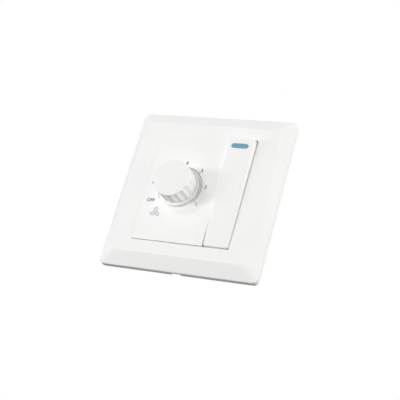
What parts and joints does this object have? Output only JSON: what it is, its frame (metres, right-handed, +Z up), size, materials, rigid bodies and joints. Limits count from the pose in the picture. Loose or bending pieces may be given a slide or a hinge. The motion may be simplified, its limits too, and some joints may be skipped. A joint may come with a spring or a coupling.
{
  "type": "fan speed control switch",
  "caption": "Square wall plate with a fluted rotary fan speed dial, a printed scale and a long rocker switch with a coloured marker strip.",
  "frame": {"origin": "centre of the two fixing slots, on the wall plane", "axes": "+X to the viewer's right, +Z up, +Y into the wall, so the front faces -Y"},
  "size_m": [0.086, 0.0485, 0.086],
  "materials": {
    "cover_plastic": "smooth white moulding",
    "knob_plastic": "smooth white moulding",
    "marker_plastic": "translucent teal moulding",
    "plate_plastic": "moulded",
    "cradle_plastic": "moulded",
    "housing_plastic": "moulded",
    "board_laminate": "laminate",
    "case_plastic": "moulded case",
    "package_plastic": "moulded package",
    "resistor_coat": "lacquer",
    "ferrite": "sintered",
    "copper": "enamelled wire",
    "brass": "machined",
    "steel": "plated",
    "aluminium": "plain"
  },
  "bodies": {
    "base": {"cover_frame": "cover_plastic", "dial_panel": "cover_plastic", "mounting_plate": "plate_plastic", "switch_cradle": "cradle_plastic", "rear_housing": "housing_plastic", "circuit_board": "board_laminate", "film_capacitor": "case_plastic", "timing_capacitor": "case_plastic", "triac": "package_plastic", "resistors": "resistor_coat", "choke_core": "ferrite", "choke_winding": "copper", "wire_terminals": "brass", "common_contact": "brass", "fixed_contact": "brass", "housing_screws": "steel", "terminal_screws": "steel", "triac_screw": "steel", "pot_body": "steel", "pot_washer": "steel", "pot_nut": "steel", "heat_sink": "aluminium"},
    "knob": {"speed_knob": "knob_plastic", "pot_shaft": "aluminium", "knob_clip": "steel"},
    "rocker_key": {"rocker": "cover_plastic", "marker_strip": "marker_plastic", "plunger": "cradle_plastic", "plunger_spring": "steel"},
    "bridge": {"moving_contact": "brass"}
  },
  "joints": [
    {"name": "knob_turn", "type": "hinge", "parent": "base", "child": "knob", "pos_m": [-0.008, -0.0078, 0], "axis": [0, 1, 0], "range_deg": [-83, 166]},
    {"name": "rocker_tilt", "type": "hinge", "parent": "base", "child": "rocker_key", "pos_m": [0.0195, -0.0042, 0], "axis": [1, 0, 0], "range_deg": [-8, 0]},
    {"name": "contact_tilt", "type": "hinge", "parent": "base", "child": "bridge", "pos_m": [0.0195, 0.00255, 0], "axis": [1, 0, 0], "range_deg": [0, 14]}
  ],
  "couplings": [
    {"joint": "contact_tilt", "follows": "rocker_tilt", "ratio": -1.75}
  ]
}
